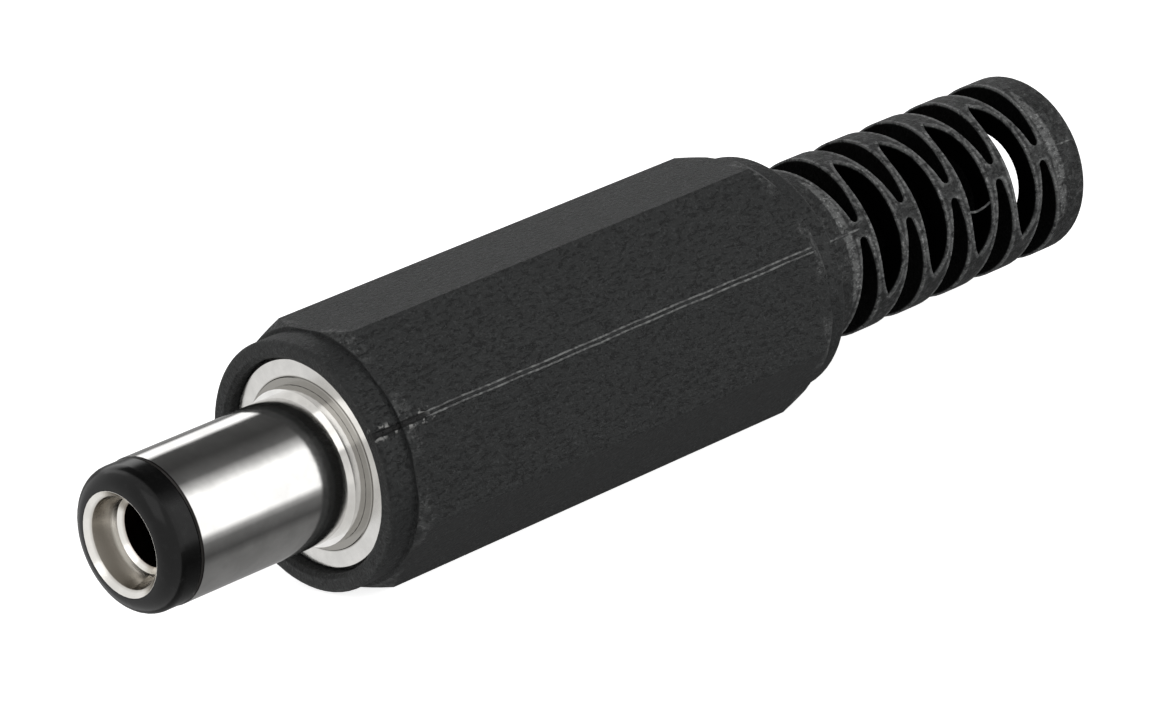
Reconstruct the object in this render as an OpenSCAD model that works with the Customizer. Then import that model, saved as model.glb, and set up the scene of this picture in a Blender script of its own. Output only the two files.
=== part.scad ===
// Screw-on DC barrel plug, 5.5 mm barrel for a 2.5 mm centre pin.
// The plug axis runs along X, tip towards -X and cable boot towards +X.
// The plug lies on one flat of its octagonal grip, with z = 0 on the table.
// Every sub-part is drawn standing on the plug axis, along local +Z, with
// local z = 0 at the front face of the flange, and is laid down at the end.

/* [Barrel] */
// Outer diameter of the barrel
barrel_d = 5.5; // [5.3:0.05:5.7]
// Inner diameter of the barrel
barrel_bore_d = 4.4; // [4.2:0.05:4.6]
// Barrel from the flange face to its front metal edge
barrel_reach = 7.5; // [6:0.1:12]
// Rounding of the barrel's front edge
barrel_edge_r = 0.12; // [0.05:0.01:0.2]
// Diameter of the ring at the barrel's root
root_ring_d = 5.9; // [5.7:0.05:6.3]
// Length of the ring at the barrel's root
root_ring_l = 0.55; // [0.3:0.05:1.5]
// Diameter of the spigot that is pressed into the bush
spigot_d = 5.1; // [5:0.05:5.2]

/* [Threaded bush] */
// Diameter of the flange
flange_d = 8; // [7.6:0.1:8.4]
// Thickness of the flange
flange_t = 0.8; // [0.5:0.05:1.5]
// Bevel round the flange's front edge
flange_bevel = 0.12; // [0.05:0.01:0.25]
// Diameter of the low step on the flange face
flange_step_d = 6.5; // [6.3:0.1:7]
// Height of the low step on the flange face
flange_step_h = 0.06; // [0.04:0.01:0.2]
// Outer diameter of the thread
thread_d = 7; // [6.8:0.05:7.2]
// Length of the thread behind the flange
thread_l = 5; // [3:0.1:7]
// Pitch of the thread
thread_pitch = 0.75; // [0.5:0.05:1]
// Depth of the turned relief at each end of the thread
relief_depth = 0.3; // [0.1:0.05:0.4]

/* [Insulator and centre contact] */
// How far the insulator's nose stands out of the barrel
nose_reach = 1.35; // [0.8:0.05:2]
// Diameter of the nose at the barrel
nose_d = 5.44; // [5.3:0.02:5.6]
// Rounding of the nose's front edge
nose_r = 0.7; // [0.2:0.05:0.75]
// Diameter of the contact's funnel lip
lip_d = 3.92; // [3.7:0.02:4.1]
// Length of the contact's funnel lip
lip_l = 1.1; // [0.6:0.1:2]
// Depth of the bevel inside the lip
lip_bevel = 0.2; // [0.1:0.05:0.3]
// Diameter of the funnel behind its bevel
funnel_d = 3.44; // [3.3:0.02:3.6]
// Diameter of the funnel at its throat
throat_d = 2.9; // [2.7:0.02:3]
// Outer diameter of the contact's sleeve
sleeve_d = 3.2; // [3.1:0.05:3.4]
// Bore of the contact, for the centre pin
pin_bore_d = 2.54; // [2.4:0.02:2.7]
// Thickness of the sleeve's closed end
sleeve_end_t = 0.5; // [0.3:0.1:1]
// Diameter of the rivet stem behind the sleeve
stem_d = 1.2; // [0.8:0.1:1.6]
// Diameter of the rivet head
rivet_d = 1.9; // [1.7:0.1:2.2]
// Thickness of the rivet head
rivet_t = 0.3; // [0.2:0.05:0.5]

/* [Rear washer and tags] */
// Diameter of the insulating washer
washer_d = 4.5; // [4.2:0.1:4.6]
// Thickness of the insulating washer
washer_t = 1; // [0.6:0.1:1.5]
// Thickness of the tag sheet
tag_t = 0.35; // [0.25:0.05:0.4]
// Width of the centre tag
centre_tag_w = 2; // [1.8:0.1:2.4]
// Length of the centre tag's tongue
centre_tag_l = 4; // [2.5:0.1:6]
// Height of the centre tag's tongue above the plug axis
centre_tag_rise = 1.4; // [1.2:0.1:1.6]
// Solder hole in the centre tag
centre_hole_d = 1; // [0.6:0.1:1.2]
// Outer diameter of the outer tag's ring
tag_ring_d = 5.9; // [5.7:0.05:6]
// Width of the outer tag's strip
strip_w = 2.2; // [1.6:0.1:2.4]
// Length of the outer tag's strip, ring to cable clamp
strip_l = 8; // [5:0.1:9]
// Solder hole in the outer tag
strip_hole_d = 1.2; // [0.8:0.1:1.6]
// Length of the cable clamp
clamp_l = 3; // [2:0.1:4]
// Outer diameter of the cable clamp
clamp_d = 5.4; // [5:0.1:5.6]
// Gap between the tips of the clamp's wings
clamp_gap = 2.4; // [1.5:0.1:3.5]

/* [Grip] */
// Width of the octagonal grip across its flats
grip_flats = 9.6; // [9.4:0.05:10.5]
// Length of the octagonal grip
grip_l = 21; // [15:0.5:26]
// Axial length of the bevels on the grip's corners
corner_bevel_l = 0.55; // [0.2:0.05:1]
// Depth of the bevels on the grip's corners
corner_bevel_h = 0.33; // [0.1:0.01:0.36]
// Diameter of the round collar in front of the grip
front_collar_d = 9.42; // [9.2:0.02:9.5]
// Length of the round collar in front of the grip
front_collar_l = 1.15; // [0.8:0.05:2]
// How far the collar's front face stands ahead of the flange face
collar_lead = 0.45; // [0.1:0.05:0.8]
// Diameter of the round collar behind the grip
rear_collar_d = 9.24; // [8.8:0.02:9.4]
// Length of the round collar behind the grip
rear_collar_l = 1; // [0.6:0.05:2]
// Rounding of the collars' outer edges
collar_edge_r = 0.15; // [0.05:0.01:0.3]
// Bevel round the mouth of the flange recess
recess_bevel = 0.16; // [0.05:0.01:0.3]
// Diameter of the cavity behind the thread
cavity_d = 6.3; // [6.1:0.05:6.6]
// Length of the taper from the cavity down to the boot's bore
cavity_taper_l = 1.4; // [0.8:0.1:2]

/* [Slotted boot] */
// Outer diameter of the boot
boot_d = 7.1; // [6.9:0.05:7.6]
// Inner diameter of the boot
boot_bore_d = 5.6; // [5.4:0.05:5.8]
// Cable hole in the boot's end ring
cable_hole_d = 5; // [4.4:0.05:5.2]
// Plain length of boot before the first slot
boot_neck_l = 1.75; // [1:0.1:3]
// Length of the plain ring at the boot's end
end_ring_l = 1.45; // [1:0.05:3]
// Rounding of the end ring's outer edge
end_ring_r = 0.3; // [0.05:0.05:0.5]
// Number of slots that open above and below the mould seam
side_slots = 5; // [3:1:6]
// Spacing of those slots along the axis
slot_pitch = 2.53; // [2.4:0.01:3]
// Width of a side slot beside the seam
slot_w_in = 0.46; // [0.3:0.02:0.6]
// Width of a side slot at the boot's skin
slot_w_out = 1.46; // [1:0.02:1.5]
// Thickness of the bars that join the rings along the seam
seam_bar_t = 0.6; // [0.4:0.05:1]
// Width of a seam slot at the boot's skin
seam_slot_w = 1.26; // [0.8:0.02:1.4]
// Distance of a seam slot's pointed floor from the plug axis
seam_slot_floor = 2.2; // [2.1:0.05:2.6]

/* [Fits] */
// Radial clearance between the thread and the handle
thread_gap = 0.03; // [0.02:0.01:0.08]
// Clearance round the flange and behind it
flange_gap = 0.03; // [0.02:0.01:0.1]
// Radial clearance of the insulator on its neighbours
insulator_gap = 0.02; // [0.01:0.01:0.05]
// Radial clearance of the pressed and riveted joints
press_gap = 0.01; // [0:0.005:0.02]

/* [Hidden] */
$fn = 96;
eps = 0.01;
sides = 8;

// Stations along the plug axis, from the flange face
nose_tip_z = -barrel_reach - nose_reach;
collar_z = -collar_lead;
grip_z = collar_z + front_collar_l;
grip_end_z = grip_z + grip_l;
shoulder_z = grip_end_z + rear_collar_l;
first_slot_z = shoulder_z + boot_neck_l + slot_w_out / 2;
last_slot_z = first_slot_z + (side_slots - 1) * slot_pitch;
boot_end_z = last_slot_z + slot_w_out / 2 + end_ring_l;
thread_end_z = flange_t + thread_l;
ring_end_z = thread_end_z + tag_t;
washer_z = ring_end_z + insulator_gap;
washer_end_z = washer_z + washer_t;
rivet_z = washer_end_z + tag_t;
clamp_z = ring_end_z + strip_l;
exit_z = boot_end_z - end_ring_l;

// The grip's corner radius and the laid-down plug's place
corner_r = grip_flats / 2 / cos(180 / sides);
seam_roll = -180 / sides;
middle_x = (nose_tip_z + boot_end_z) / 2;

// Lays a sub-part down on the grip's lower flat, centred over the origin
module lay() {
    translate([-middle_x, 0, grip_flats / 2]) rotate([0, 90, 0]) children();
}

// A ring or disc between two stations
module tube(z0, z1, outer_d, inner_d = 0) {
    translate([0, 0, z0]) difference() {
        cylinder(d = outer_d, h = z1 - z0);
        if (inner_d > 0) translate([0, 0, -eps]) cylinder(d = inner_d, h = z1 - z0 + 2 * eps);
    }
}

// A disc whose outer edge is rounded at its lower end
module rounded_disc(z0, z1, d, r) {
    translate([0, 0, z0]) rotate_extrude() {
        translate([0, r]) square([d / 2, z1 - z0 - r]);
        square([d / 2 - r, r + eps]);
        translate([d / 2 - r, r]) intersection() {
            circle(r);
            translate([0, -r]) square([r, r + eps]);
        }
    }
}

// A disc whose outer edge is rounded at its upper end
module crowned_disc(z0, z1, d, r) {
    translate([0, 0, z0 + z1]) mirror([0, 0, 1]) rounded_disc(z0, z1, d, r);
}

// ---- Handle: grip, collars and boot, moulded in one ----

// Octagonal grip with coned corners at both ends
module grip() {
    cone_r = corner_r - corner_bevel_h;
    intersection() {
        translate([0, 0, grip_z]) cylinder(r = corner_r, h = grip_l, $fn = sides);
        rotate_extrude() polygon([
            [0, grip_z], [cone_r, grip_z],
            [corner_r + eps, grip_z + corner_bevel_l],
            [corner_r + eps, grip_end_z - corner_bevel_l],
            [cone_r, grip_end_z], [0, grip_end_z]
        ]);
    }
}

// Side slot: a wedge drawn outwards from the seam plane, round at its root
module side_slot(z) {
    reach = boot_d / 2 + 1;
    root_x = seam_bar_t / 2 + slot_w_in / 2;
    flare = (slot_w_out - slot_w_in) / 2 / (boot_d / 2 - root_x);
    wide = slot_w_in / 2 + flare * (reach - root_x);
    for (side = [0, 1]) mirror([side, 0, 0])
        translate([0, boot_d, z]) rotate([90, 0, 0]) linear_extrude(2 * boot_d) {
            translate([root_x, 0]) circle(d = slot_w_in, $fn = 32);
            polygon([[root_x, -slot_w_in / 2], [root_x, slot_w_in / 2],
                     [reach, wide], [reach, -wide]]);
        }
}

// Seam slot: a pointed lens cut across the seam, widest at the skin
module seam_slot(z) {
    depth = boot_d / 2 - seam_slot_floor;
    arc_r = (depth * depth + seam_slot_w * seam_slot_w / 4) / seam_slot_w;
    for (side = [0, 1]) mirror([0, side, 0])
        translate([-boot_d, boot_d / 2, z]) rotate([90, 0, 90]) linear_extrude(2 * boot_d)
            intersection() {
                translate([0, arc_r - seam_slot_w / 2]) circle(arc_r);
                translate([0, seam_slot_w / 2 - arc_r]) circle(arc_r);
            }
}

// Boot: a plain tube cut by two families of slots, which leaves linked rings
module boot() {
    difference() {
        crowned_disc(shoulder_z - eps, boot_end_z, boot_d, end_ring_r);
        for (i = [0 : side_slots - 1]) side_slot(first_slot_z + i * slot_pitch);
        for (i = [0 : side_slots - 2]) seam_slot(first_slot_z + (i + 0.5) * slot_pitch);
    }
}

// Room inside the handle, from the flange recess to the cable hole
module handle_room() {
    recess_d = flange_d + 2 * flange_gap;
    recess_end_z = flange_t + flange_gap;
    bore_end_z = thread_end_z + flange_gap;
    taper_z = shoulder_z - cavity_taper_l;
    tube(collar_z - eps, recess_end_z, recess_d);
    translate([0, 0, collar_z - eps])
        cylinder(d1 = recess_d + 2 * recess_bevel, d2 = recess_d, h = recess_bevel);
    tube(recess_end_z - eps, bore_end_z, thread_d + 2 * thread_gap);
    tube(bore_end_z - eps, taper_z, cavity_d);
    translate([0, 0, taper_z - eps])
        cylinder(d1 = cavity_d, d2 = boot_bore_d, h = cavity_taper_l + eps);
    tube(shoulder_z - eps, exit_z, boot_bore_d);
    tube(exit_z - eps, boot_end_z + eps, cable_hole_d);
}

module handle() {
    color([0.09, 0.095, 0.095]) lay() rotate([0, 0, seam_roll]) difference() {
        union() {
            rounded_disc(collar_z, grip_z + eps, front_collar_d, collar_edge_r);
            grip();
            crowned_disc(grip_end_z - eps, shoulder_z, rear_collar_d, collar_edge_r);
            boot();
        }
        handle_room();
    }
}

// ---- Plug insert: what the handle screws on to ----

// Turned tube with a stepped root and a spigot for the bush
module barrel() {
    color([0.8, 0.8, 0.78]) lay() difference() {
        union() {
            rounded_disc(-barrel_reach, 0, barrel_d, barrel_edge_r);
            tube(-root_ring_l, 0, root_ring_d);
            tube(-eps, ring_end_z, spigot_d);
        }
        tube(-barrel_reach - eps, ring_end_z + eps, barrel_bore_d);
    }
}

// Flanged and threaded bush, shown with the thread's outer cylinder
module threaded_bush() {
    color([0.76, 0.75, 0.72]) lay() difference() {
        union() {
            tube(flange_bevel, flange_t, flange_d);
            cylinder(d1 = flange_d - 2 * flange_bevel, d2 = flange_d, h = flange_bevel + eps);
            tube(flange_t - eps, thread_end_z, thread_d);
            tube(-flange_step_h, eps, flange_step_d);
        }
        tube(-flange_step_h - eps, thread_end_z + eps, spigot_d + 2 * press_gap);
        tube(-flange_step_h - eps, 0, root_ring_d + 2 * press_gap);
        for (z = [flange_t, thread_end_z - thread_pitch])
            tube(z, z + thread_pitch, thread_d + 1, thread_d - 2 * relief_depth);
    }
}

// Moulded tube with the rounded nose that closes the barrel's mouth
module insulator() {
    bore_d = sleeve_d + 2 * insulator_gap;
    color([0.03, 0.03, 0.03]) lay() difference() {
        union() {
            rounded_disc(nose_tip_z, -barrel_reach - insulator_gap, nose_d, nose_r);
            tube(nose_tip_z + nose_r, ring_end_z, barrel_bore_d - 2 * insulator_gap);
        }
        tube(nose_tip_z - eps, ring_end_z + eps, bore_d);
        tube(nose_tip_z - eps, nose_tip_z + lip_l + insulator_gap, lip_d + 2 * insulator_gap);
    }
}

// Centre contact: funnel lip, sleeve for the pin, closed end and rivet stem
module centre_contact() {
    throat_z = nose_tip_z + lip_l;
    color([0.78, 0.77, 0.72]) lay() {
        difference() {
            union() {
                tube(nose_tip_z, throat_z, lip_d);
                tube(throat_z - eps, ring_end_z, sleeve_d);
            }
            translate([0, 0, nose_tip_z - eps])
                cylinder(d1 = lip_d, d2 = funnel_d, h = lip_bevel + eps);
            translate([0, 0, nose_tip_z + lip_bevel - eps])
                cylinder(d1 = funnel_d, d2 = throat_d, h = lip_l - lip_bevel + eps);
            translate([0, 0, throat_z - eps]) cylinder(d1 = throat_d, d2 = pin_bore_d, h = lip_bevel);
            tube(throat_z, ring_end_z - sleeve_end_t, pin_bore_d);
        }
        tube(ring_end_z - eps, rivet_z + eps, stem_d);
        tube(rivet_z, rivet_z + rivet_t, rivet_d);
    }
}

// Washer that keeps the centre tag off the barrel
module rear_washer() {
    color([0.12, 0.11, 0.1]) lay()
        tube(washer_z, washer_end_z, washer_d, stem_d + 2 * press_gap);
}

// Centre tag: eye on the rivet, bent back into a tongue with a solder hole
module centre_tag() {
    tongue_end_z = rivet_z + centre_tag_l;
    color([0.74, 0.73, 0.7]) lay() difference() {
        union() {
            tube(washer_end_z, rivet_z, centre_tag_w);
            translate([-centre_tag_rise - tag_t, -centre_tag_w / 2, washer_end_z])
                cube([centre_tag_rise + tag_t, centre_tag_w, tag_t]);
            translate([-centre_tag_rise - tag_t, -centre_tag_w / 2, washer_end_z])
                cube([tag_t, centre_tag_w, tongue_end_z - washer_end_z]);
            translate([-centre_tag_rise - tag_t, 0, tongue_end_z])
                rotate([0, 90, 0]) cylinder(d = centre_tag_w, h = tag_t);
        }
        tube(washer_end_z - eps, rivet_z + eps, stem_d + 2 * press_gap);
        translate([-centre_tag_rise - tag_t - eps, 0, tongue_end_z])
            rotate([0, 90, 0]) cylinder(d = centre_hole_d, h = tag_t + 2 * eps, $fn = 48);
    }
}

// Outer tag: ring on the barrel's spigot, strip with a solder hole, cable clamp
module outer_tag() {
    strip_x = clamp_d / 2 - tag_t;
    hole_z = ring_end_z + strip_l / 2;
    color([0.74, 0.73, 0.7]) lay() difference() {
        union() {
            tube(thread_end_z, ring_end_z, tag_ring_d);
            translate([strip_x, -strip_w / 2, ring_end_z - eps])
                cube([tag_t, strip_w, strip_l + 2 * eps]);
            intersection() {
                tube(ring_end_z - eps, ring_end_z + tag_t, tag_ring_d);
                translate([strip_x, -strip_w / 2, ring_end_z - eps])
                    cube([tag_ring_d / 2, strip_w, tag_t + 2 * eps]);
            }
            difference() {
                tube(clamp_z, clamp_z + clamp_l, clamp_d, clamp_d - 2 * tag_t);
                translate([-clamp_d, -clamp_gap / 2, clamp_z - eps])
                    cube([clamp_d, clamp_gap, clamp_l + 2 * eps]);
            }
        }
        tube(thread_end_z - eps, ring_end_z + press_gap, spigot_d + 2 * press_gap);
        translate([0, 0, hole_z]) rotate([0, 90, 0])
            cylinder(d = strip_hole_d, h = clamp_d, $fn = 48);
    }
}

handle();
barrel();
threaded_bush();
insulator();
centre_contact();
rear_washer();
centre_tag();
outer_tag();
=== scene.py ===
"""A screw-on DC barrel plug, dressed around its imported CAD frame.

The plug lies along X, nose towards -X. Its own stations are measured from the flange face, in
metres along +X, and its own angles round the plug axis from the mould seam that faces the viewer.
"""

import math

import bmesh
import bpy
import numpy as np
from mathutils import Matrix, Vector


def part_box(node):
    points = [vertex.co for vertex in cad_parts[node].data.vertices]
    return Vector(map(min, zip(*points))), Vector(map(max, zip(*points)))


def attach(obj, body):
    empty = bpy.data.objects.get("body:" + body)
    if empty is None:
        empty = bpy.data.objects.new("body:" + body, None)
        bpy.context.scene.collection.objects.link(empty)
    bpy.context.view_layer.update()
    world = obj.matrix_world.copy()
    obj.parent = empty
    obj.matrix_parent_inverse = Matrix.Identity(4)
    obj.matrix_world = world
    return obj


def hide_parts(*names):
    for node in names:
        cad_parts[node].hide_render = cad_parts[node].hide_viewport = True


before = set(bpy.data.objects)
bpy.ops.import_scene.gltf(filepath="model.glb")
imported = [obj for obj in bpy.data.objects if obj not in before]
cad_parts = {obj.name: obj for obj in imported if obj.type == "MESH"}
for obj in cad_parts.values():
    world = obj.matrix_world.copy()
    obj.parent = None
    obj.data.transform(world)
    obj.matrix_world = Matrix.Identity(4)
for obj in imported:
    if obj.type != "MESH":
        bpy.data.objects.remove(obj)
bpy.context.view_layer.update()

MM = 0.001

# ---- Places, all taken from the frame ----

HANDLE_LOW, HANDLE_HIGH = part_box("handle")
_, BUSH_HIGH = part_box("threaded_bush")

AXIS_Z = (HANDLE_LOW.z + HANDLE_HIGH.z) / 2
THREAD_END = 5.8 * MM
FLANGE_X = BUSH_HIGH.x - THREAD_END
GRIP_FLATS = HANDLE_HIGH.z - HANDLE_LOW.z
SEAM_ROLL = math.radians(22.5)
CORNER_R = GRIP_FLATS / 2 / math.cos(SEAM_ROLL)
BOOT_END = HANDLE_HIGH.x - FLANGE_X

GRIP_START, GRIP_END, SHOULDER = 0.7 * MM, 21.7 * MM, 22.7 * MM
CORNER_BEVEL_L, CORNER_BEVEL_H = 0.55 * MM, 0.33 * MM
REAR_COLLAR_R, BOOT_R = 4.62 * MM, 3.55 * MM
FIRST_SLOT, SLOT_PITCH = 25.18 * MM, 2.53 * MM
SLOT_HALF = 0.73 * MM
PITCH = 0.75 * MM

SEAM = np.array([0.0, -math.cos(SEAM_ROLL), math.sin(SEAM_ROLL)])
ACROSS = np.array([0.0, math.sin(SEAM_ROLL), math.cos(SEAM_ROLL)])


def place(station, along_seam, across):
    """Plug coordinates to the row frame: the axis point at a station, plus so much along
    the seam's direction and so much across it. Takes arrays of one shape."""
    base = np.stack([FLANGE_X + station, 0 * station, AXIS_Z + 0 * station], -1)
    return base + along_seam[..., None] * SEAM + across[..., None] * ACROSS


def grid_mesh(name, points, wrap_u, wrap_v, caps=False):
    """A mesh from a grid of points (rows, columns, 3). A wrapped direction joins its last
    line to its first, and caps close the two end rows of a tube with one face each."""
    rows, cols = points.shape[:2]
    index = np.arange(rows * cols).reshape(rows, cols)
    a = index if wrap_u else index[:-1]
    a = a if wrap_v else a[:, :-1]
    down = np.roll(index, -1, 0)[: a.shape[0]]
    right = np.roll(index, -1, 1)
    diagonal = np.roll(down, -1, 1)[:, : a.shape[1]]
    faces = np.stack([a, right[: a.shape[0], : a.shape[1]], diagonal, down[:, : a.shape[1]]], -1)
    faces = faces.reshape(-1, 4).tolist()
    if caps:
        faces += [index[0, ::-1].tolist(), index[-1].tolist()]
    mesh = bpy.data.meshes.new(name)
    mesh.from_pydata(points.reshape(-1, 3).tolist(), [], faces)
    mesh.validate()
    piece = bpy.data.objects.new(name, mesh)
    bpy.context.scene.collection.objects.link(piece)
    face_outwards(mesh)
    return piece


def face_outwards(mesh):
    """Turns every face the way its closed shell needs."""
    shell = bmesh.new()
    shell.from_mesh(mesh)
    bmesh.ops.recalc_face_normals(shell, faces=shell.faces)
    shell.to_mesh(mesh)
    shell.free()


def smooth(piece, degrees=35):
    """Smooth shading, with edges sharper than the angle left crisp."""
    piece.data.shade_smooth()
    piece.data.set_sharp_from_angle(angle=math.radians(degrees))
    return piece


# ---- Shader maths ----

class Wire:
    """A socket whose arithmetic adds Math nodes."""

    def __init__(self, shader, socket):
        self.shader, self.socket = shader, socket

    def maths(self, operation, *others, swap=False):
        inputs = [self, *others]
        if swap:
            inputs.reverse()
        node = self.shader.node("ShaderNodeMath", {"operation": operation}, dict(enumerate(inputs)))
        return Wire(self.shader, node.outputs[0])

    def __add__(self, other): return self.maths("ADD", other)
    def __sub__(self, other): return self.maths("SUBTRACT", other)
    def __mul__(self, other): return self.maths("MULTIPLY", other)
    def __truediv__(self, other): return self.maths("DIVIDE", other)
    def __rsub__(self, other): return self.maths("SUBTRACT", other, swap=True)
    def __rtruediv__(self, other): return self.maths("DIVIDE", other, swap=True)
    __radd__, __rmul__ = __add__, __mul__

    def abs(self): return self.maths("ABSOLUTE")
    def root(self): return self.maths("SQRT")
    def fraction(self): return self.maths("FRACT")
    def least(self, other): return self.maths("MINIMUM", other)
    def most(self, other): return self.maths("MAXIMUM", other)
    def clamped(self): return self.most(0.0).least(1.0)

    def step(self, low, high):
        """0 below low, 1 above high, smooth between them; high may be the smaller."""
        t = ((self - low) / (high - low)).clamped()
        return t * t * (3.0 - 2.0 * t)


class Shader:
    """One material's node tree."""

    def __init__(self, name, **constants):
        self.material = bpy.data.materials.new(name)
        self.material.use_nodes = True
        self.tree = self.material.node_tree
        self.surface = self.tree.nodes["Principled BSDF"]
        for socket, value in constants.items():
            self.surface.inputs[socket.replace("_", " ")].default_value = value

    def node(self, kind, settings=None, inputs=None):
        """Adds a node: its settings first, then the values or links of its sockets."""
        node = self.tree.nodes.new(kind)
        for key, value in (settings or {}).items():
            setattr(node, key, value)
        for key, value in (inputs or {}).items():
            if isinstance(value, Wire):
                self.tree.links.new(value.socket, node.inputs[key])
            else:
                node.inputs[key].default_value = value
        return node

    def out(self, kind, settings=None, inputs=None, output=0):
        return Wire(self, self.node(kind, settings, inputs).outputs[output])

    def feed(self, socket, wire):
        self.tree.links.new(wire.socket, self.surface.inputs[socket])

    def plug_axes(self):
        """Station, distance along the seam and distance across it, in millimetres."""
        point = self.out("ShaderNodeTexCoord", output=3)
        parts = self.node("ShaderNodeSeparateXYZ", None, {0: point})
        x, y, z = (Wire(self, parts.outputs[i]) for i in range(3))
        up = z - AXIS_Z
        along = y * float(SEAM[1]) + up * float(SEAM[2])
        across = y * float(ACROSS[1]) + up * float(ACROSS[2])
        return (x - FLANGE_X) / MM, along / MM, across / MM

    def noise(self, point, size, detail=2.0, rough=0.5):
        """Noise of about one lump per size, in the point's own units."""
        return self.out("ShaderNodeTexNoise", None, {
            "Vector": point, "Scale": 1 / size, "Detail": detail, "Roughness": rough})

    def vector(self, x, y, z):
        return self.out("ShaderNodeCombineXYZ", None, {0: x, 1: y, 2: z})

    def mix(self, factor, first, second):
        """A colour mix; first and second are triples or wires."""
        pad = lambda c: c if isinstance(c, Wire) else (*c, 1.0)
        return self.out("ShaderNodeMix", {"data_type": "RGBA"},
                        {0: factor, 6: pad(first), 7: pad(second)}, output=2)

    def bump(self, height, strength, depth, normal=None):
        inputs = {"Height": height, "Strength": strength, "Distance": depth}
        if normal is not None:
            inputs["Normal"] = normal
        return self.out("ShaderNodeBump", None, inputs)

    def rounded_edges(self, radius):
        return self.out("ShaderNodeBevel", {"samples": 6}, {"Radius": radius})


def slot_borders(station, along, across):
    """1 within a fine margin of a slot's border on the boot's skin, else 0. A side slot is a
    wedge that opens away from the seam; a seam slot is a lens between two arcs."""
    pitch, first = SLOT_PITCH / MM, FIRST_SLOT / MM
    turn = ((station - first) / pitch).fraction()
    from_side = (0.5 - (turn - 0.5).abs()) * pitch
    from_seam = (turn - 0.5).abs() * pitch
    side_half = 0.23 + 0.166 * (across.abs() - 0.53).most(0.0)
    below_skin = 3.55 - along.abs()
    lens_half = (3.10 - below_skin * below_skin).most(0.0).root() - 1.131
    side_border = (from_side - side_half).step(0.20, 0.04) * across.abs().step(0.15, 0.4)
    seam_border = (from_seam - lens_half).step(0.20, 0.04) * along.abs().step(2.0, 2.3)
    inside = station.step(24.2, 24.3) * station.step(36.35, 36.2)
    return side_border.most(seam_border) * inside


def moulded_plastic():
    """Charcoal satin plastic: fine speckle drawn out along the axis, slot borders, rings and
    corners painted paler as highlights, and a dark crack where the halves meet at the grip's front. Inside
    the boot the
    colour is painted shade: near black and metallic, which leaves it almost no sheen."""
    s = Shader("moulded_plastic", Specular_IOR_Level=0.33)
    station, along, across = s.plug_axes()
    drawn = s.vector(station * 0.5, along, across)
    even = s.vector(station, along, across)
    grain = s.noise(even, 0.12, 3.0, 0.65)
    streak = s.noise(drawn, 0.15, 4.0, 0.7)
    cloud = s.noise(even, 1.4, 3.0)
    blotch = s.noise(even, 0.28, 2.0, 0.6)
    pits = streak.step(0.46, 0.36)
    flecks = grain.step(0.54, 0.66)
    radius = (along * along + across * across).root()
    on_boot = station.step(SHOULDER / MM - 0.05, SHOULDER / MM + 0.1)
    skin = on_boot * radius.step(3.40, 3.53)
    # Inside the boot: painted shade, a near black colour made metallic so that it keeps almost no sheen.
    inner = on_boot * radius.step(3.52, 3.42)
    # Painted highlights: the grip's corner bevels, the boot's skin and its slot borders are made paler in
    # blotches, standing in for light caught on their faces and edges.
    front_corner = station.step(1.32, 1.1) * station.step(0.68, 0.72) * radius.step(4.82, 4.90)
    rear_corner = station.step(21.1, 21.25) * radius.step(4.82, 4.90) * (1 - on_boot)
    borders = slot_borders(station, along, across) * skin * blotch.step(0.30, 0.52)
    painted_highlights = (skin * 0.22 * blotch.step(0.45, 0.62) + borders * 1.0
              + (front_corner + rear_corner) * 0.3 * blotch.step(0.40, 0.55)).clamped()
    beside_seam = across.abs()
    skin_side = along.step(4.3, 4.5)
    crack = beside_seam.step(0.13, 0.06) * skin_side * station.step(2.0, 1.4) * blotch.step(0.30, 0.42)
    chips = beside_seam.step(0.34, 0.12) * skin_side * station.step(2.4, 1.5) * blotch.step(0.55, 0.60)
    shade = 0.12 + 0.24 * cloud - 0.30 * pits + 0.62 * flecks + 0.20 * streak - 0.14 * on_boot
    plain = s.mix(shade.clamped(), (0.0030, 0.0033, 0.0033), (0.032, 0.034, 0.034))
    # The paler colour of the painted highlights.
    painted_highlight_colour = s.mix((flecks * 0.6 + 0.6 * streak).clamped(), (0.03, 0.032, 0.032), (0.34, 0.345, 0.34))
    toned = s.mix(painted_highlights, plain, painted_highlight_colour)
    chipped = s.mix((chips * (1 - crack)).clamped(), toned, (0.34, 0.34, 0.33))
    # Painted shade inside the boot.
    painted_shade_inside = s.mix(inner, chipped, (0.0008, 0.0009, 0.0009))
    s.feed("Base Color", s.mix(crack, painted_shade_inside, (0.0005, 0.0005, 0.0005)))
    s.feed("Roughness", (0.52 + 0.14 * streak - 0.10 * painted_highlights - 0.08 * flecks + 0.45 * inner).clamped())
    height = 0.6 * grain + 0.7 * streak - 0.4 * pits - 2.5 * crack
    # Metallic inside the boot is part of its painted shade: it takes away the sheen.
    s.feed("Metallic", inner)
    s.feed("Normal", s.bump(height, 1.0, 0.00008, s.rounded_edges(0.00008)))
    return s.material


def parting_plastic():
    """The same plastic where the mould halves meet: paler, with a broken line."""
    s = Shader("parting_plastic", Specular_IOR_Level=0.45)
    station, along, across = s.plug_axes()
    beads = s.noise(s.vector(station, along, across), 0.22, 2.0, 0.6)
    s.feed("Base Color", s.mix(beads.step(0.35, 0.7), (0.035, 0.036, 0.036), (0.20, 0.205, 0.20)))
    s.feed("Roughness", 0.34 + 0.2 * beads)
    s.feed("Normal", s.bump(beads, 0.4, 0.00004))
    return s.material


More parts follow.
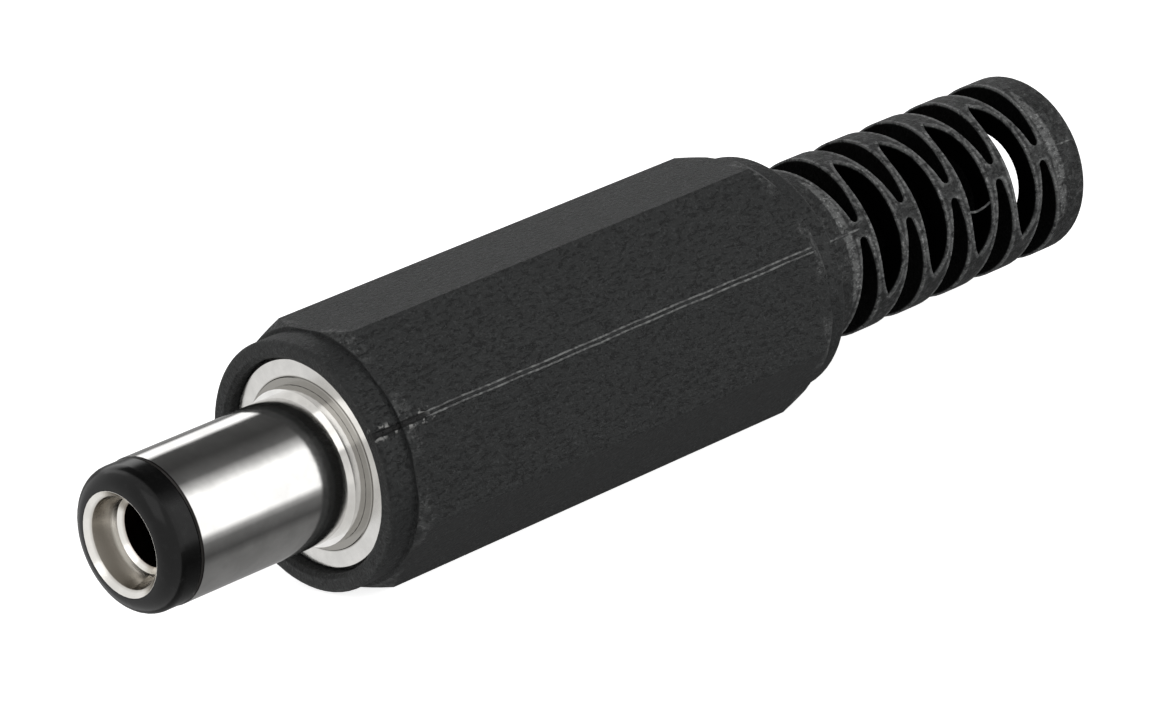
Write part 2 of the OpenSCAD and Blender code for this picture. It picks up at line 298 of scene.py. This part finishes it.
def nickel(name, colour, roughness, ring_depth, bands_and_painted_shade=()):
    """Nickel plating over turned metal, with faint tool marks round the axis. Each band is
    (measure, from, full, colour): along the axis ("station") or out from it ("radius"). The bush's and the
    contact's bands are painted shade."""
    s = Shader(name, Metallic=1.0)
    station, along, across = s.plug_axes()
    radius = (along * along + across * across).root()
    measures = {"station": station, "radius": radius}
    marks = s.noise(s.vector(station * 3.0, radius * 3.0, 0.0), 0.09, 3.0, 0.7)
    haze = s.noise(s.vector(station, along, across), 0.9, 3.0, 0.55)
    dark = tuple(0.86 * c for c in colour)
    tone = s.mix(haze.step(0.3, 0.75), dark, colour)
    for measure, low, full, band_colour in bands_and_painted_shade:
        tone = s.mix(measures[measure].step(low, full), tone, band_colour)
    s.feed("Base Color", tone)
    s.feed("Roughness", roughness + 0.06 * haze + 0.05 * marks)
    s.feed("Normal", s.bump(marks, 0.25, ring_depth))
    return s.material


def glossy_nose():
    """Black gloss moulding, faintly scuffed where it meets the socket."""
    s = Shader("glossy_nose", Specular_IOR_Level=0.22)
    station, along, across = s.plug_axes()
    scuff = s.noise(s.vector(station, along, across), 0.35, 4.0, 0.6)
    s.feed("Base Color", s.mix(scuff.step(0.5, 0.85), (0.004, 0.004, 0.004), (0.014, 0.014, 0.014)))
    s.feed("Roughness", 0.15 + 0.10 * scuff)
    s.feed("Normal", s.bump(scuff, 0.08, 0.00001))
    return s.material


def pressed_fibre():
    """Brown-black pressed fibre of the washer."""
    s = Shader("pressed_fibre", Specular_IOR_Level=0.3)
    station, along, across = s.plug_axes()
    felt = s.noise(s.vector(station * 3.0, along, across), 0.12, 4.0, 0.7)
    s.feed("Base Color", s.mix(felt, (0.020, 0.015, 0.011), (0.085, 0.064, 0.048)))
    s.feed("Roughness", 0.7 + 0.2 * felt)
    s.feed("Normal", s.bump(felt, 0.5, 0.00003))
    return s.material


def tinned_sheet():
    """Stamped sheet with a tin finish: rolled along the strip, soft at the edges."""
    s = Shader("tinned_sheet", Metallic=1.0)
    station, along, across = s.plug_axes()
    rolled = s.noise(s.vector(station * 0.12, along, across), 0.07, 3.0, 0.6)
    bloom = s.noise(s.vector(station, along, across), 0.7, 3.0)
    s.feed("Base Color", s.mix(bloom, (0.52, 0.51, 0.49), (0.78, 0.77, 0.74)))
    s.feed("Roughness", 0.26 + 0.16 * bloom + 0.10 * rolled)
    s.feed("Normal", s.bump(rolled, 0.3, 0.00001, s.rounded_edges(0.00005)))
    return s.material


def dress(piece, material):
    piece.data.materials.clear()
    piece.data.materials.append(material)


PLASTIC = moulded_plastic()
PARTING = parting_plastic()
# Painted shade on the bush nearer the axis than 3.24 mm: the step face round the barrel's root, the
# counterbore, the bore and the thread's roots are darker.
BUSH_NICKEL = nickel("bush_nickel", (0.68, 0.67, 0.65), 0.12, 0.000002,
                     [("radius", 3.32, 3.24, (0.30, 0.29, 0.27))])
TIN = tinned_sheet()
FINISHES = {
    "handle": PLASTIC,
    "barrel": nickel("barrel_nickel", (0.84, 0.83, 0.81), 0.045, 0.000001,
                     [("station", -7.36, -7.40, (0.02, 0.019, 0.018))]),
    "threaded_bush": BUSH_NICKEL,
    "insulator": glossy_nose(),
    # Painted shade in the contact: darker from station -8.60 into the funnel, plain nickel again from
    # -7.86, and dark brown from -7.50 into the bore.
    "centre_contact": nickel("contact_nickel", (0.80, 0.78, 0.74), 0.14, 0.000003,
                             [("station", -8.74, -8.60, (0.34, 0.32, 0.29)),
                              ("station", -8.02, -7.86, (0.78, 0.76, 0.72)),
                              ("station", -7.66, -7.50, (0.22, 0.17, 0.14))]),
    "rear_washer": pressed_fibre(),
    "centre_tag": TIN,
    "outer_tag": TIN,
}
for node, finish in FINISHES.items():
    dress(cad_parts[node], finish)


# ---- The threaded bush, with its real thread ----

def turned_bush():
    """The bush as one closed turned surface. A closed outline of (station, radius) points goes
    round the axis, and along the thread its radius also follows the helix: crest where station
    over pitch less the turn is whole, root half a pitch on, with both ends run out."""
    crest, root, relief = 3.5 * MM, 3.06 * MM, 3.2 * MM
    start, end = 1.55 * MM, 5.05 * MM
    bore, flange, flange_t, bevel = 2.56 * MM, 4.0 * MM, 0.8 * MM, 0.12 * MM
    step_h, step_r, counterbore = 0.06 * MM, 3.25 * MM, 2.96 * MM
    rows = np.linspace(start, end, 71)
    front = [(0, bore), (0, counterbore), (-step_h, counterbore), (-step_h, step_r - 0.03 * MM),
             (-step_h + 0.03 * MM, step_r), (0, step_r), (0, flange - bevel), (bevel, flange),
             (flange_t - 0.05 * MM, flange), (flange_t, flange - 0.05 * MM), (flange_t, relief)]
    back = [(THREAD_END - 0.1 * MM, relief), (THREAD_END, relief - 0.1 * MM), (THREAD_END, bore)]
    outline = np.array(front + [(z, crest) for z in rows] + back)
    turns = np.linspace(0, 1, 96, endpoint=False)
    station = np.repeat(outline[:, :1], turns.size, 1)
    radius = np.repeat(outline[:, 1:], turns.size, 1)
    phase = (station / PITCH - turns[None, :]) % 1.0
    wave = np.clip(np.abs(2 * phase - 1) * 1.25 - 0.125, 0, 1)
    runout = np.clip(np.minimum(station - start, end - station) / (0.6 * PITCH), 0, 1)
    cut = relief + (root + (crest - root) * wave - relief) * runout
    threaded = slice(len(front), len(front) + rows.size)
    radius[threaded] = cut[threaded]
    angle = 2 * math.pi * turns[None, :] + 0 * station
    points = place(station, radius * np.cos(angle), radius * np.sin(angle))
    return smooth(grid_mesh("turned_bush", points, True, True), 28)


bush = turned_bush()
dress(bush, BUSH_NICKEL)
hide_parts("threaded_bush")
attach(bush, "insert")


# ---- Moulding marks on the handle ----

def ridge(name, stations, radii, offset, half_width, height, side=1):
    """A fine raised line on the handle: an ellipse carried along the surface at a fixed
    distance from the seam. On the grip's corner the surface falls away on both sides."""
    turn = np.linspace(0, 2 * math.pi, 10, endpoint=False)
    stations = np.asarray(stations)
    taper = np.minimum(1, np.minimum(stations - stations[0], stations[-1] - stations) / (0.4 * MM) + 0.15)
    on_grip = (stations > GRIP_START) & (stations < GRIP_END)
    fall = np.where(on_grip, math.tan(SEAM_ROLL) * abs(offset), 0)
    wander = 0.012 * MM * np.sin(stations / (1.7 * MM))
    wander = wander + 0.008 * MM * np.sin(stations / (0.43 * MM) + offset / MM)
    across = offset + wander[:, None] + half_width * taper[:, None] * np.cos(turn)[None, :]
    out = (np.asarray(radii) - fall)[:, None] + height * taper[:, None] * np.sin(turn)[None, :]
    station = np.repeat(stations[:, None], turn.size, 1)
    piece = smooth(grid_mesh(name, place(station, side * out, across), False, True, caps=True), 60)
    dress(piece, PARTING)
    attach(piece, "handle")
    return piece


def outline_radius(stations):
    """The handle's radius at the seam: grip corner with its end bevels, collar, then boot."""
    inset = np.minimum(stations - GRIP_START, GRIP_END - stations)
    grip = CORNER_R - CORNER_BEVEL_H * np.clip(1 - inset / CORNER_BEVEL_L, 0, 1)
    behind = np.where(stations < SHOULDER, REAR_COLLAR_R, BOOT_R)
    return np.where(inset >= 0, grip, behind)


for side, where in ((1, "near"), (-1, "far")):
    grip_run = np.linspace(GRIP_START + 0.9 * MM, GRIP_END - 0.03 * MM, 160)
    for offset, line in ((-0.085 * MM, "lower"), (0.085 * MM, "upper")):
        ridge(f"parting_line_{where}_{line}", grip_run, outline_radius(grip_run), offset,
              0.045 * MM, 0.03 * MM, side)
    end_run = np.linspace(BOOT_END - 1.4 * MM, BOOT_END - 0.35 * MM, 16)
    ridge(f"parting_line_{where}_end_ring", end_run, outline_radius(end_run), 0, 0.05 * MM, 0.04 * MM, side)
    neck_run = np.linspace(SHOULDER + 0.05 * MM, FIRST_SLOT + SLOT_HALF * 0.2, 30)
    ridge(f"parting_line_{where}_neck", neck_run, outline_radius(neck_run), 0, 0.05 * MM, 0.045 * MM, side)


def shade_sheet(name, station, angle, half_angle, half_length, radius, thickness):
    """A guessed skin across a slot: a thin sector of a tube with ragged ends, a dark sheet of painted shade
    that the plastic's inside colour makes near black. It stands for no known piece of a real plug, and only
    keeps the background from showing through. Its outline goes out along the outer wall and back along the
    inner one."""
    around = np.linspace(-1, 1, 25)
    outline = np.concatenate([around, around[::-1]])
    depth = np.repeat([radius, radius - thickness], around.size)
    runs = np.linspace(-1, 1, 9)
    theta = angle + half_angle * outline[None, :] * (1 - 0.12 * runs[:, None] ** 2)
    ragged = 1 + 0.10 * np.sin(9 * outline)[None, :] + 0.05 * np.sin(23 * outline)[None, :]
    stations = station + half_length * runs[:, None] * ragged
    points = place(stations, depth * np.cos(theta), depth * np.sin(theta))
    piece = grid_mesh(name, points, False, True, caps=True)
    dress(smooth(piece, 40), PLASTIC)
    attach(piece, "handle")


def flash_strand():
    """A hair of flash across the third seam slot: a fine tube, bowed between two rings."""
    run = np.linspace(-1, 1, 13)
    turn = np.linspace(0, 2 * math.pi, 8, endpoint=False)
    middle = FIRST_SLOT + 2.5 * SLOT_PITCH
    stations = middle + 0.62 * MM * run[:, None] + 0 * turn[None, :]
    angle = math.radians(-20) + 0.05 * run[:, None] ** 2
    radius = 3.42 * MM + 0.05 * MM * np.sin(turn)[None, :] - 0.10 * MM * (1 - run[:, None] ** 2)
    angle = angle + 0.016 * np.cos(turn)[None, :]
    piece = grid_mesh("flash_strand", place(stations, radius * np.cos(angle), radius * np.sin(angle)),
                      False, True, caps=True)
    dress(smooth(piece, 60), PARTING)
    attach(piece, "handle")


flash_strand()
# Dark sheets of painted shade across three slots, near black from the plastic's inside colour.
for slot_number in (1, 2, 3):
    shade_sheet(f"shade_sheet_{slot_number}", FIRST_SLOT + (slot_number + 0.5) * SLOT_PITCH, math.pi,
              math.radians(40), 0.72 * MM, 2.92 * MM, 0.09 * MM)


# ---- Studio ----

def view_frame(azimuth, elevation, roll):
    """The camera's turn: it looks back along the direction given by its azimuth and elevation."""
    back = Vector((math.cos(elevation) * math.cos(azimuth), math.cos(elevation) * math.sin(azimuth),
                   math.sin(elevation)))
    return back, back.to_track_quat("Z", "Y").to_matrix() @ Matrix.Rotation(roll, 3, "Z")


def add_camera():
    target = Vector((-0.4 * MM, 0.4 * MM, 4.45 * MM))
    back, turn = view_frame(math.radians(-131.35), math.radians(17.28), math.radians(-8.5))
    data = bpy.data.cameras.new("product_camera")
    data.lens, data.sensor_width, data.clip_start = 184.6, 36.0, 0.005
    camera = bpy.data.objects.new("product_camera", data)
    bpy.context.scene.collection.objects.link(camera)
    camera.matrix_world = Matrix.Translation(target + back * 0.2213) @ turn.to_4x4()
    bpy.context.scene.camera = camera


def soft_light(name, position, size, power):
    data = bpy.data.lights.new(name, "AREA")
    data.shape, data.size, data.energy = "SQUARE", size, power
    lamp = bpy.data.objects.new(name, data)
    bpy.context.scene.collection.objects.link(lamp)
    aim = Vector(position) - Vector((0, 0, AXIS_Z))
    lamp.matrix_world = Matrix.Translation(position) @ aim.to_track_quat("Z", "Y").to_matrix().to_4x4()
    lamp.visible_camera = False
    return lamp


def glow_by_angle():
    """What the studio walls give back, by angle round the plug axis from the near seam:
    a wide softbox by the viewer, dark overhead, a strip behind the top and grey below."""
    angles = [-180, -165, -150, -110, -85, -70, -50, -42, -34, 22, 34, 48, 75, 112, 120, 138, 146, 165, 180]
    glow = [0.5, 0.26, 0.2, 0.17, 0.14, 0.05, 0.14, 0.4, 1.35, 1.35, 0.6, 0.1, 0.03, 0.05, 1.3, 1.3,
            0.16, 0.26, 0.5]
    return angles, glow


def studio_walls():
    """A wide tube round the plug axis that only reflections see: each face glows with the
    value of its own angle, kept in a face attribute."""
    turns, rows = 180, 2
    angle = np.linspace(-math.pi, math.pi, turns, endpoint=False)
    radius, reach = 0.45, (0.02, 1.2)
    station = np.repeat(np.array(reach)[:, None], turns, 1)
    points = place(station, radius * np.cos(angle) + 0 * station, radius * np.sin(angle) + 0 * station)
    walls = grid_mesh("studio_walls", points, False, True)
    glow = walls.data.attributes.new("glow", "FLOAT", "POINT")
    glow.data.foreach_set("value", np.tile(np.interp(np.degrees(angle), *glow_by_angle()), rows))
    s = Shader("studio_glow")
    level = s.out("ShaderNodeAttribute", {"attribute_name": "glow"}, output=2)
    s.surface.inputs["Base Color"].default_value = (0, 0, 0, 1)
    s.surface.inputs["Emission Strength"].default_value = 1.0
    s.feed("Emission Color", level)
    dress(walls, s.material)
    for ray in ("camera", "diffuse", "transmission", "shadow", "volume_scatter"):
        setattr(walls, f"visible_{ray}", False)


def pale_floor():
    """A white floor that keeps the plug's soft shadow and is not mirrored in the metal."""
    size = 3.0
    mesh = bpy.data.meshes.new("floor")
    corners = [(-size, -size, 0), (size, -size, 0), (size, size, 0), (-size, size, 0)]
    mesh.from_pydata(corners, [], [(0, 1, 2, 3)])
    floor = bpy.data.objects.new("floor", mesh)
    bpy.context.scene.collection.objects.link(floor)
    s = Shader("floor_white", Roughness=1.0, Specular_IOR_Level=0.0)
    s.surface.inputs["Base Color"].default_value = (0.9, 0.9, 0.9, 1)
    s.surface.inputs["Emission Strength"].default_value = 1.0
    seen = s.out("ShaderNodeLightPath", output=0)
    s.feed("Emission Color", seen * 0.85)
    dress(floor, s.material)
    floor.visible_glossy = False


def white_world():
    world = bpy.data.worlds.new("white_world")
    world.use_nodes = True
    bpy.context.scene.world = world
    tree = world.node_tree
    path = tree.nodes.new("ShaderNodeLightPath")
    seen = tree.nodes.new("ShaderNodeMath")
    seen.operation = "MAXIMUM"
    tree.links.new(path.outputs["Is Camera Ray"], seen.inputs[0])
    both = tree.nodes.new("ShaderNodeMath")
    both.operation = "MAXIMUM"
    tree.links.new(path.outputs["Is Glossy Ray"], both.inputs[0])
    tree.links.new(path.outputs["Is Transmission Ray"], both.inputs[1])
    tree.links.new(both.outputs[0], seen.inputs[1])
    level = tree.nodes.new("ShaderNodeMapRange")
    level.inputs["To Min"].default_value = 0.30
    level.inputs["To Max"].default_value = 1.0
    tree.links.new(seen.outputs[0], level.inputs["Value"])
    tree.links.new(level.outputs["Result"], tree.nodes["Background"].inputs["Strength"])
    tree.nodes["Background"].inputs["Color"].default_value = (1, 1, 1, 1)


add_camera()
white_world()
studio_walls()
pale_floor()
soft_light("key_softbox", (0.35, -0.55, 0.45), 0.5, 1.8)
soft_light("fill_softbox", (-0.5, -0.3, 0.5), 0.6, 0.9)
soft_light("back_softbox", (0.1, 0.6, 0.6), 0.6, 0.9)
bpy.context.scene.view_settings.view_transform = "Standard"
